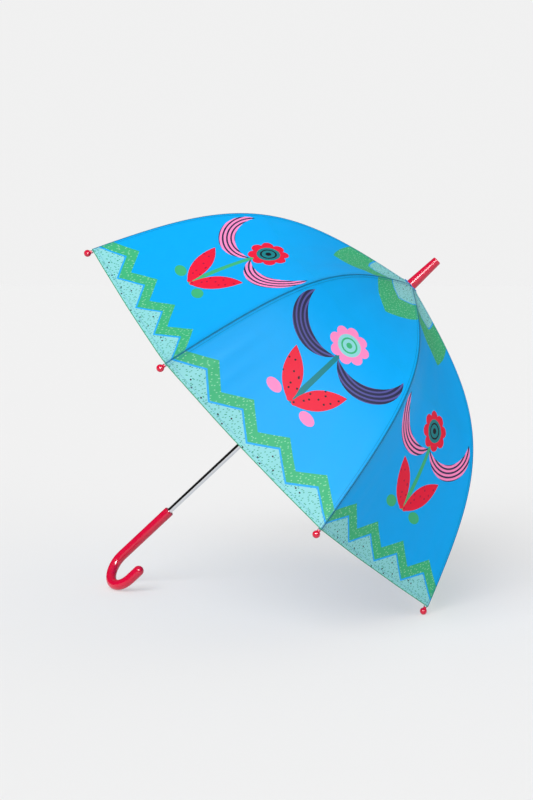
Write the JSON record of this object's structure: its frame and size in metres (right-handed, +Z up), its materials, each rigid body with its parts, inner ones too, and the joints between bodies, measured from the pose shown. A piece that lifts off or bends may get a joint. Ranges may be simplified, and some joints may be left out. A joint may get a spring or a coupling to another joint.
{
  "type": "children's umbrella",
  "caption": "Open domed umbrella for a child, lying on the rims of two ribs and its crook handle, with a folding frame of ribs, stretchers and a sliding runner.",
  "frame": {"origin": "middle of the bounding box on the floor that the open umbrella lies on", "axes": "+Z up, +X towards the ferrule's end along the floor, +Y to the left of the shaft seen from the handle; the shaft lies in the XZ plane and rises towards +X"},
  "size_m": [0.5254, 0.6686, 0.5373],
  "materials": {
    "canopy_fabric": "printed woven polyester, satin",
    "rosette_fabric": "woven polyester with a pinked edge",
    "red_plastic": "glossy moulded",
    "black_plastic": "moulded",
    "shaft_chrome": "polished plated tube",
    "rib_steel": "rolled steel strip, plated",
    "wire_steel": "drawn wire",
    "spring_steel": "spring strip"
  },
  "bodies": {
    "frame": {"shaft": "shaft_chrome", "handle": "red_plastic", "ferrule": "red_plastic", "rosette": "rosette_fabric", "canopy_crown": "canopy_fabric", "top_notch": "black_plastic", "notch_ring": "wire_steel", "stop_pin": "wire_steel"},
    "runner": {"runner": "black_plastic", "runner_ring": "wire_steel"},
    "top_catch": {"top_spring": "spring_steel"},
    "bottom_catch": {"bottom_spring": "spring_steel"},
    "rib_1_upper": {"rib_upper_1": "rib_steel"},
    "rib_1_lower": {"rib_lower_1": "rib_steel", "rib_tip_1": "red_plastic"},
    "stretcher_1": {"stretcher_1": "rib_steel"},
    "panel_1_upper": {"canopy_upper_1": "canopy_fabric"},
    "panel_1_lower": {"canopy_lower_1": "canopy_fabric"},
    "rib_2_upper": {"rib_upper_2": "rib_steel"},
    "rib_2_lower": {"rib_lower_2": "rib_steel", "rib_tip_2": "red_plastic"},
    "stretcher_2": {"stretcher_2": "rib_steel"},
    "panel_2_upper": {"canopy_upper_2": "canopy_fabric"},
    "panel_2_lower": {"canopy_lower_2": "canopy_fabric"},
    "rib_3_upper": {"rib_upper_3": "rib_steel"},
    "rib_3_lower": {"rib_lower_3": "rib_steel", "rib_tip_3": "red_plastic"},
    "stretcher_3": {"stretcher_3": "rib_steel"},
    "panel_3_upper": {"canopy_upper_3": "canopy_fabric"},
    "panel_3_lower": {"canopy_lower_3": "canopy_fabric"},
    "rib_4_upper": {"rib_upper_4": "rib_steel"},
    "rib_4_lower": {"rib_lower_4": "rib_steel", "rib_tip_4": "red_plastic"},
    "stretcher_4": {"stretcher_4": "rib_steel"},
    "panel_4_upper": {"canopy_upper_4": "canopy_fabric"},
    "panel_4_lower": {"canopy_lower_4": "canopy_fabric"},
    "rib_5_upper": {"rib_upper_5": "rib_steel"},
    "rib_5_lower": {"rib_lower_5": "rib_steel", "rib_tip_5": "red_plastic"},
    "stretcher_5": {"stretcher_5": "rib_steel"},
    "panel_5_upper": {"canopy_upper_5": "canopy_fabric"},
    "panel_5_lower": {"canopy_lower_5": "canopy_fabric"},
    "rib_6_upper": {"rib_upper_6": "rib_steel"},
    "rib_6_lower": {"rib_lower_6": "rib_steel", "rib_tip_6": "red_plastic"},
    "stretcher_6": {"stretcher_6": "rib_steel"},
    "panel_6_upper": {"canopy_upper_6": "canopy_fabric"},
    "panel_6_lower": {"canopy_lower_6": "canopy_fabric"},
    "rib_7_upper": {"rib_upper_7": "rib_steel"},
    "rib_7_lower": {"rib_lower_7": "rib_steel", "rib_tip_7": "red_plastic"},
    "stretcher_7": {"stretcher_7": "rib_steel"},
    "panel_7_upper": {"canopy_upper_7": "canopy_fabric"},
    "panel_7_lower": {"canopy_lower_7": "canopy_fabric"},
    "rib_8_upper": {"rib_upper_8": "rib_steel"},
    "rib_8_lower": {"rib_lower_8": "rib_steel", "rib_tip_8": "red_plastic"},
    "stretcher_8": {"stretcher_8": "rib_steel"},
    "panel_8_upper": {"canopy_upper_8": "canopy_fabric"},
    "panel_8_lower": {"canopy_lower_8": "canopy_fabric"}
  },
  "joints": [
    {"name": "fold", "type": "hinge", "parent": "frame", "child": "rib_1_upper", "pos_m": [0.17841, 0.00344, 0.42936], "axis": [-0.2632, 0.9239, 0.2778], "range_deg": [0, 65.43], "deforming": ["top_spring", "bottom_spring", "canopy_upper_1", "canopy_upper_2", "canopy_upper_3", "canopy_upper_4", "canopy_upper_5", "canopy_upper_6", "canopy_upper_7", "canopy_upper_8", "canopy_lower_1", "canopy_lower_2", "canopy_lower_3", "canopy_lower_4", "canopy_lower_5", "canopy_lower_6", "canopy_lower_7", "canopy_lower_8"]},
    {"name": "rib_1_flex", "type": "hinge", "parent": "rib_1_upper", "child": "rib_1_lower", "pos_m": [0.25921, 0.08502, 0.23462], "axis": [-0.2632, 0.9239, 0.2778], "range_deg": [-32.56, 0]},
    {"name": "stretcher_1_swing", "type": "hinge", "parent": "rib_1_upper", "child": "stretcher_1", "pos_m": [0.25063, 0.07402, 0.26306], "axis": [-0.2632, 0.9239, 0.2778], "range_deg": [-130.86, 0]},
    {"name": "runner_turn", "type": "hinge", "parent": "stretcher_1", "child": "runner", "pos_m": [0.08846, 0.00344, 0.34414], "axis": [-0.2632, 0.9239, 0.2778], "range_deg": [0, 65.43]},
    {"name": "panel_1_fold", "type": "hinge", "parent": "frame", "child": "panel_1_upper", "pos_m": [0.17781, 0.00635, 0.43151], "axis": [-0.4863, 0.7071, 0.5133], "range_deg": [0, 63.77]},
    {"name": "panel_1_hem_fold", "type": "hinge", "parent": "panel_1_upper", "child": "panel_1_lower", "pos_m": [0.2205, 0.14637, 0.27906], "axis": [-0.4863, 0.7071, 0.5133], "range_deg": [-32.88, 0]},
    {"name": "rib_2_turn", "type": "hinge", "parent": "frame", "child": "rib_2_upper", "pos_m": [0.17506, 0.00831, 0.4329], "axis": [-0.6354, 0.3827, 0.6707], "range_deg": [0, 65.43]},
    {"name": "rib_2_flex", "type": "hinge", "parent": "rib_2_upper", "child": "rib_2_lower", "pos_m": [0.17651, 0.20526, 0.3219], "axis": [-0.6354, 0.3827, 0.6707], "range_deg": [-32.56, 0]},
    {"name": "stretcher_2_swing", "type": "hinge", "parent": "rib_2_upper", "child": "stretcher_2", "pos_m": [0.17863, 0.17871, 0.33905], "axis": [-0.6354, 0.3827, 0.6707], "range_deg": [-130.86, 0]},
    {"name": "panel_2_fold", "type": "hinge", "parent": "frame", "child": "panel_2_upper", "pos_m": [0.17344, 0.00897, 0.43611], "axis": [-0.6878, 0, 0.7259], "range_deg": [0, 63.77]},
    {"name": "panel_2_hem_fold", "type": "hinge", "parent": "panel_2_upper", "child": "panel_2_lower", "pos_m": [0.11983, 0.207, 0.38532], "axis": [-0.6878, 0, 0.7259], "range_deg": [-32.88, 0]},
    {"name": "rib_3_turn", "type": "hinge", "parent": "frame", "child": "rib_3_upper", "pos_m": [0.17032, 0.00831, 0.4379], "axis": [-0.6354, -0.3827, 0.6707], "range_deg": [0, 65.43]},
    {"name": "rib_3_flex", "type": "hinge", "parent": "rib_3_upper", "child": "rib_3_lower", "pos_m": [0.05956, 0.20526, 0.44534], "axis": [-0.6354, -0.3827, 0.6707], "range_deg": [-32.56, 0]},
    {"name": "stretcher_3_swing", "type": "hinge", "parent": "rib_3_upper", "child": "stretcher_3", "pos_m": [0.0768, 0.17871, 0.44652], "axis": [-0.6354, -0.3827, 0.6707], "range_deg": [-130.86, 0]},
    {"name": "panel_3_fold", "type": "hinge", "parent": "frame", "child": "panel_3_upper", "pos_m": [0.16908, 0.00635, 0.44072], "axis": [-0.4863, -0.7071, 0.5133], "range_deg": [0, 63.77]},
    {"name": "panel_3_hem_fold", "type": "hinge", "parent": "panel_3_upper", "child": "panel_3_lower", "pos_m": [0.01916, 0.14637, 0.49157], "axis": [-0.4863, -0.7071, 0.5133], "range_deg": [-32.88, 0]},
    {"name": "rib_4_turn", "type": "hinge", "parent": "frame", "child": "rib_4_upper", "pos_m": [0.16697, 0.00344, 0.44144], "axis": [-0.2632, -0.9239, 0.2778], "range_deg": [0, 65.43]},
    {"name": "rib_4_flex", "type": "hinge", "parent": "rib_4_upper", "child": "rib_4_lower", "pos_m": [-0.02314, 0.08502, 0.53262], "axis": [-0.2632, -0.9239, 0.2778], "range_deg": [-32.56, 0]},
    {"name": "stretcher_4_swing", "type": "hinge", "parent": "rib_4_upper", "child": "stretcher_4", "pos_m": [0.0048, 0.07402, 0.52252], "axis": [-0.2632, -0.9239, 0.2778], "range_deg": [-130.86, 0]},
    {"name": "panel_4_fold", "type": "hinge", "parent": "frame", "child": "panel_4_upper", "pos_m": [0.16727, 0, 0.44263], "axis": [0, -1, 0], "range_deg": [0, 63.77]},
    {"name": "panel_4_hem_fold", "type": "hinge", "parent": "panel_4_upper", "child": "panel_4_lower", "pos_m": [-0.02254, 0, 0.53558], "axis": [0, -1, 0], "range_deg": [-32.88, 0]},
    {"name": "rib_5_turn", "type": "hinge", "parent": "frame", "child": "rib_5_upper", "pos_m": [0.16697, -0.00344, 0.44144], "axis": [0.2632, -0.9239, -0.2778], "range_deg": [0, 65.43]},
    {"name": "rib_5_flex", "type": "hinge", "parent": "rib_5_upper", "child": "rib_5_lower", "pos_m": [-0.02314, -0.08502, 0.53262], "axis": [0.2632, -0.9239, -0.2778], "range_deg": [-32.56, 0]},
    {"name": "stretcher_5_swing", "type": "hinge", "parent": "rib_5_upper", "child": "stretcher_5", "pos_m": [0.0048, -0.07402, 0.52252], "axis": [0.2632, -0.9239, -0.2778], "range_deg": [-130.86, 0]},
    {"name": "panel_5_fold", "type": "hinge", "parent": "frame", "child": "panel_5_upper", "pos_m": [0.16908, -0.00635, 0.44072], "axis": [0.4863, -0.7071, -0.5133], "range_deg": [0, 63.77]},
    {"name": "panel_5_hem_fold", "type": "hinge", "parent": "panel_5_upper", "child": "panel_5_lower", "pos_m": [0.01916, -0.14637, 0.49157], "axis": [0.4863, -0.7071, -0.5133], "range_deg": [-32.88, 0]},
    {"name": "rib_6_turn", "type": "hinge", "parent": "frame", "child": "rib_6_upper", "pos_m": [0.17032, -0.00831, 0.4379], "axis": [0.6354, -0.3827, -0.6707], "range_deg": [0, 65.43]},
    {"name": "rib_6_flex", "type": "hinge", "parent": "rib_6_upper", "child": "rib_6_lower", "pos_m": [0.05956, -0.20526, 0.44534], "axis": [0.6354, -0.3827, -0.6707], "range_deg": [-32.56, 0]},
    {"name": "stretcher_6_swing", "type": "hinge", "parent": "rib_6_upper", "child": "stretcher_6", "pos_m": [0.0768, -0.17871, 0.44652], "axis": [0.6354, -0.3827, -0.6707], "range_deg": [-130.86, 0]},
    {"name": "panel_6_fold", "type": "hinge", "parent": "frame", "child": "panel_6_upper", "pos_m": [0.17344, -0.00897, 0.43611], "axis": [0.6878, 0, -0.7259], "range_deg": [0, 63.77]},
    {"name": "panel_6_hem_fold", "type": "hinge", "parent": "panel_6_upper", "child": "panel_6_lower", "pos_m": [0.11983, -0.207, 0.38532], "axis": [0.6878, 0, -0.7259], "range_deg": [-32.88, 0]},
    {"name": "rib_7_turn", "type": "hinge", "parent": "frame", "child": "rib_7_upper", "pos_m": [0.17506, -0.00831, 0.4329], "axis": [0.6354, 0.3827, -0.6707], "range_deg": [0, 65.43]},
    {"name": "rib_7_flex", "type": "hinge", "parent": "rib_7_upper", "child": "rib_7_lower", "pos_m": [0.17651, -0.20526, 0.3219], "axis": [0.6354, 0.3827, -0.6707], "range_deg": [-32.56, 0]},
    {"name": "stretcher_7_swing", "type": "hinge", "parent": "rib_7_upper", "child": "stretcher_7", "pos_m": [0.17863, -0.17871, 0.33905], "axis": [0.6354, 0.3827, -0.6707], "range_deg": [-130.86, 0]},
    {"name": "panel_7_fold", "type": "hinge", "parent": "frame", "child": "panel_7_upper", "pos_m": [0.17781, -0.00635, 0.43151], "axis": [0.4863, 0.7071, -0.5133], "range_deg": [0, 63.77]},
    {"name": "panel_7_hem_fold", "type": "hinge", "parent": "panel_7_upper", "child": "panel_7_lower", "pos_m": [0.2205, -0.14637, 0.27906], "axis": [0.4863, 0.7071, -0.5133], "range_deg": [-32.88, 0]},
    {"name": "rib_8_turn", "type": "hinge", "parent": "frame", "child": "rib_8_upper", "pos_m": [0.17841, -0.00344, 0.42936], "axis": [0.2632, 0.9239, -0.2778], "range_deg": [0, 65.43]},
    {"name": "rib_8_flex", "type": "hinge", "parent": "rib_8_upper", "child": "rib_8_lower", "pos_m": [0.25921, -0.08502, 0.23462], "axis": [0.2632, 0.9239, -0.2778], "range_deg": [-32.56, 0]},
    {"name": "stretcher_8_swing", "type": "hinge", "parent": "rib_8_upper", "child": "stretcher_8", "pos_m": [0.25063, -0.07402, 0.26306], "axis": [0.2632, 0.9239, -0.2778], "range_deg": [-130.86, 0]},
    {"name": "panel_8_fold", "type": "hinge", "parent": "frame", "child": "panel_8_upper", "pos_m": [0.17962, 0, 0.4296], "axis": [0, 1, 0], "range_deg": [0, 63.77]},
    {"name": "panel_8_hem_fold", "type": "hinge", "parent": "panel_8_upper", "child": "panel_8_lower", "pos_m": [0.2622, 0, 0.23505], "axis": [0, 1, 0], "range_deg": [-32.88, 0]},
    {"name": "top_catch_press", "type": "hinge", "parent": "frame", "child": "top_catch", "pos_m": [0.05443, 0, 0.32335], "axis": [0.6878, 0, -0.7259], "range_deg": [0, 6], "stiffness_Nm_per_rad": 0.05},
    {"name": "bottom_catch_press", "type": "hinge", "parent": "frame", "child": "bottom_catch", "pos_m": [-0.11114, 0, 0.16648], "axis": [-0.6878, 0, 0.7259], "range_deg": [0, 6], "stiffness_Nm_per_rad": 0.05}
  ],
  "couplings": [
    {"joint": "rib_1_flex", "follows": "fold", "ratio": -0.49755},
    {"joint": "stretcher_1_swing", "follows": "fold", "ratio": -2},
    {"joint": "runner_turn", "follows": "fold", "ratio": 1},
    {"joint": "panel_1_fold", "follows": "fold", "ratio": 0.97463},
    {"joint": "panel_1_hem_fold", "follows": "fold", "ratio": -0.50254},
    {"joint": "rib_2_turn", "follows": "fold", "ratio": 1},
    {"joint": "rib_2_flex", "follows": "fold", "ratio": -0.49755},
    {"joint": "stretcher_2_swing", "follows": "fold", "ratio": -2},
    {"joint": "panel_2_fold", "follows": "fold", "ratio": 0.97463},
    {"joint": "panel_2_hem_fold", "follows": "fold", "ratio": -0.50254},
    {"joint": "rib_3_turn", "follows": "fold", "ratio": 1},
    {"joint": "rib_3_flex", "follows": "fold", "ratio": -0.49755},
    {"joint": "stretcher_3_swing", "follows": "fold", "ratio": -2},
    {"joint": "panel_3_fold", "follows": "fold", "ratio": 0.97463},
    {"joint": "panel_3_hem_fold", "follows": "fold", "ratio": -0.50254},
    {"joint": "rib_4_turn", "follows": "fold", "ratio": 1},
    {"joint": "rib_4_flex", "follows": "fold", "ratio": -0.49755},
    {"joint": "stretcher_4_swing", "follows": "fold", "ratio": -2},
    {"joint": "panel_4_fold", "follows": "fold", "ratio": 0.97463},
    {"joint": "panel_4_hem_fold", "follows": "fold", "ratio": -0.50254},
    {"joint": "rib_5_turn", "follows": "fold", "ratio": 1},
    {"joint": "rib_5_flex", "follows": "fold", "ratio": -0.49755},
    {"joint": "stretcher_5_swing", "follows": "fold", "ratio": -2},
    {"joint": "panel_5_fold", "follows": "fold", "ratio": 0.97463},
    {"joint": "panel_5_hem_fold", "follows": "fold", "ratio": -0.50254},
    {"joint": "rib_6_turn", "follows": "fold", "ratio": 1},
    {"joint": "rib_6_flex", "follows": "fold", "ratio": -0.49755},
    {"joint": "stretcher_6_swing", "follows": "fold", "ratio": -2},
    {"joint": "panel_6_fold", "follows": "fold", "ratio": 0.97463},
    {"joint": "panel_6_hem_fold", "follows": "fold", "ratio": -0.50254},
    {"joint": "rib_7_turn", "follows": "fold", "ratio": 1},
    {"joint": "rib_7_flex", "follows": "fold", "ratio": -0.49755},
    {"joint": "stretcher_7_swing", "follows": "fold", "ratio": -2},
    {"joint": "panel_7_fold", "follows": "fold", "ratio": 0.97463},
    {"joint": "panel_7_hem_fold", "follows": "fold", "ratio": -0.50254},
    {"joint": "rib_8_turn", "follows": "fold", "ratio": 1},
    {"joint": "rib_8_flex", "follows": "fold", "ratio": -0.49755},
    {"joint": "stretcher_8_swing", "follows": "fold", "ratio": -2},
    {"joint": "panel_8_fold", "follows": "fold", "ratio": 0.97463},
    {"joint": "panel_8_hem_fold", "follows": "fold", "ratio": -0.50254}
  ]
}
